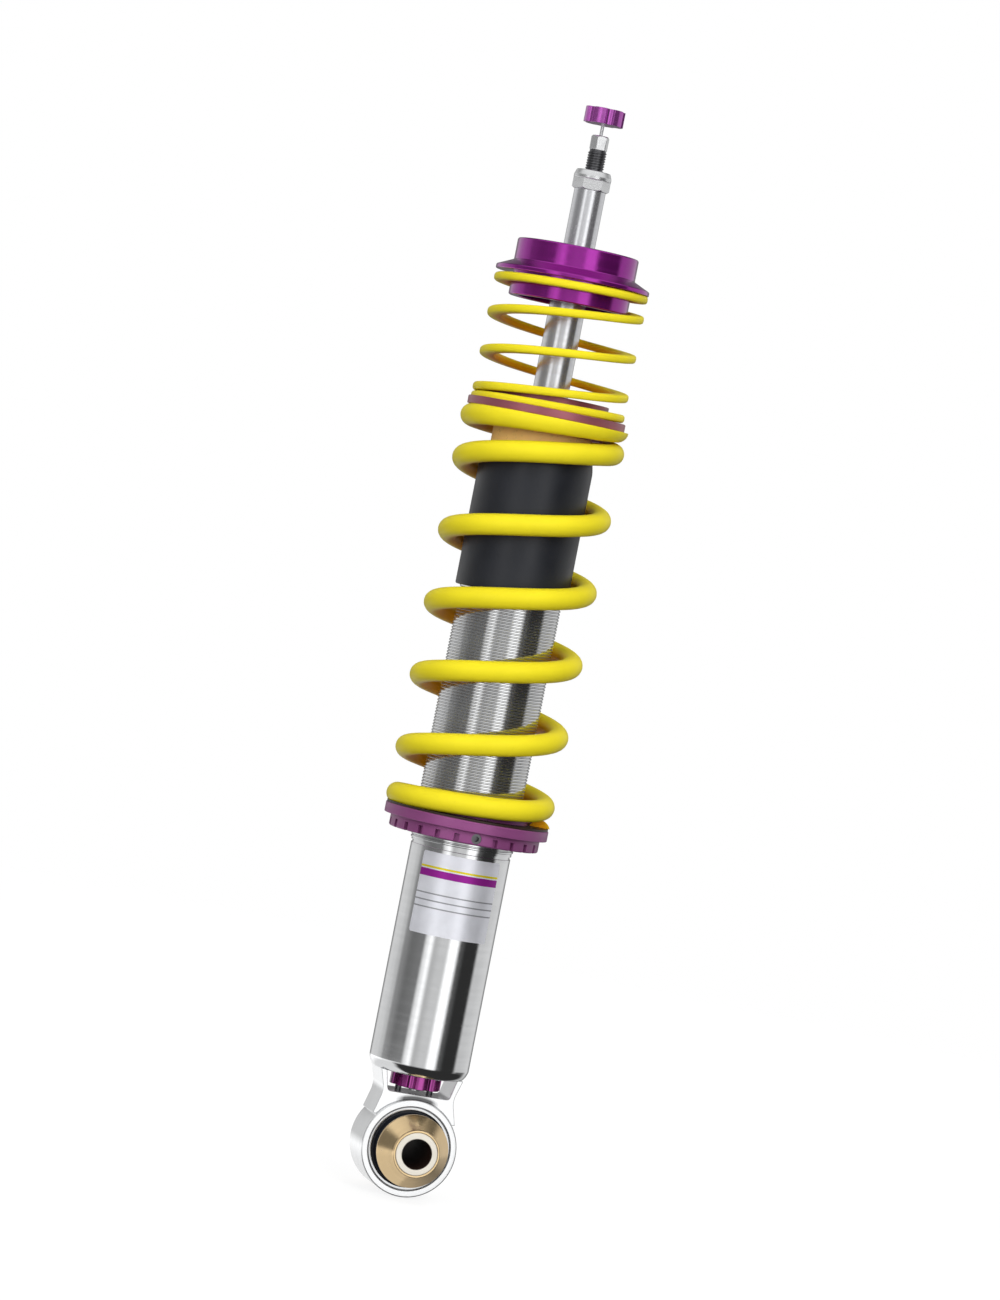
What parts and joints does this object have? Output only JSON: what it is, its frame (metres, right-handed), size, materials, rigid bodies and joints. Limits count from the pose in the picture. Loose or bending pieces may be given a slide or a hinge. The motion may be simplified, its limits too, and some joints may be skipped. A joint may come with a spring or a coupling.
{
  "type": "coilover",
  "caption": "Rear coilover: threaded twin-tube damper with lower eye, main and helper springs, adjustable perch, and rebound and compression adjusters.",
  "frame": {"origin": "centre of the lower eye's bore", "axes": "+Z along the piston rod, towards the rebound knob; the eye's bore runs along Y"},
  "size_m": [0.0824, 0.0824, 0.539],
  "materials": {
    "polished_steel": "polished stainless steel",
    "chromed_rod": "hard chromed and ground",
    "machined_steel": "turned steel",
    "dark_steel": "black oxide",
    "yellow_zinc": "yellow zinc passivated",
    "purple_anodised": "anodised purple, satin",
    "magenta_anodised": "anodised magenta, bright",
    "mauve_anodised": "anodised mauve, satin",
    "spring_yellow": "gloss powder coat",
    "foam_orange": "cellular polyurethane, matt",
    "black_rubber": "moulded rubber, matt",
    "black_plastic": "moulded plastic",
    "bronze": "machined bronze",
    "silver_foil": "plain silver foil"
  },
  "bodies": {
    "damper": {"outer_tube": "polished_steel", "end_cap": "polished_steel", "eye_ring": "polished_steel", "bush_shell": "machined_steel", "bush_rubber": "black_rubber", "pressure_tube": "machined_steel", "foot_valve": "bronze", "rod_guide": "machined_steel", "guide_bush": "bronze", "guide_oring": "black_rubber", "rod_seal": "black_rubber", "gland_nut": "machined_steel", "bump_stop": "foam_orange", "boot": "black_rubber", "label": "silver_foil", "wheel_support": "dark_steel", "spindle_oring": "black_rubber", "detent_ball": "machined_steel", "detent_spring": "machined_steel"},
    "bush_centre": {"bush_sleeve": "machined_steel", "front_cone_washer": "yellow_zinc", "rear_cone_washer": "yellow_zinc"},
    "spring_seat": {"slip_washer": "black_plastic", "main_spring": "spring_yellow"},
    "perch": {"lower_perch": "purple_anodised", "grub_screw": "machined_steel", "lock_pad": "bronze"},
    "coupler": {"spring_coupler": "mauve_anodised", "helper_spring": "spring_yellow"},
    "rod": {"piston_rod": "chromed_rod", "rebound_stop": "machined_steel", "piston": "machined_steel", "piston_band": "bronze", "upper_shims": "machined_steel", "lower_shims": "machined_steel", "piston_nut": "machined_steel", "top_perch": "purple_anodised", "spacer_sleeve": "polished_steel", "top_nut": "machined_steel"},
    "rebound_screw": {"rebound_spindle": "machined_steel"},
    "rebound_valve": {"rebound_needle": "bronze"},
    "knob": {"rebound_knob": "magenta_anodised", "knob_stem": "machined_steel"},
    "compression_screw": {"compression_wheel": "magenta_anodised", "compression_spindle": "machined_steel"},
    "compression_valve": {"compression_needle": "bronze"}
  },
  "joints": [
    {"name": "bush_twist", "type": "hinge", "parent": "damper", "child": "bush_centre", "pos_m": [0, 0, 0], "axis": [0, 1, 0], "range_deg": [-12, 12], "stiffness_Nm_per_rad": 60},
    {"name": "perch_lift", "type": "slide", "parent": "damper", "child": "spring_seat", "axis": [0, 0, 1], "range_m": [-0.00201, 0.02401]},
    {"name": "perch_turn", "type": "hinge", "parent": "spring_seat", "child": "perch", "pos_m": [0, 0, 0.155], "axis": [0, 0, 1], "range_deg": [-360, 4320]},
    {"name": "coupler_slide", "type": "slide", "parent": "spring_seat", "child": "coupler", "axis": [0, 0, 1], "range_m": [-0.0315, 0]},
    {"name": "rod_slide", "type": "slide", "parent": "spring_seat", "child": "rod", "axis": [0, 0, 1], "range_m": [-0.07, 0], "stiffness_N_per_m": 35000, "springref_m": 0.0008, "deforming": ["main_spring", "helper_spring"]},
    {"name": "knob_turn", "type": "hinge", "parent": "rod", "child": "rebound_screw", "pos_m": [0, 0, 0.5], "axis": [0, 0, 1], "range_deg": [0, 300]},
    {"name": "rebound_needle_lift", "type": "slide", "parent": "rod", "child": "rebound_valve", "axis": [0, 0, 1], "range_m": [-0.001, 0]},
    {"name": "knob_pull", "type": "slide", "parent": "rebound_screw", "child": "knob", "axis": [0, 0, 1], "range_m": [0, 0.03]},
    {"name": "wheel_turn", "type": "hinge", "parent": "damper", "child": "compression_screw", "pos_m": [0, 0, 0.03], "axis": [0, 0, 1], "range_deg": [-150, 150]},
    {"name": "compression_needle_lift", "type": "slide", "parent": "damper", "child": "compression_valve", "axis": [0, 0, 1], "range_m": [-0.0006, 0.0006]}
  ],
  "couplings": [
    {"joint": "perch_lift", "follows": "perch_turn", "m_per_rad": 0.00031831},
    {"joint": "coupler_slide", "follows": "rod_slide", "ratio": 0.45},
    {"joint": "rebound_needle_lift", "follows": "knob_turn", "m_per_rad": -0.00015915},
    {"joint": "compression_needle_lift", "follows": "wheel_turn", "m_per_rad": 0.00015915}
  ]
}
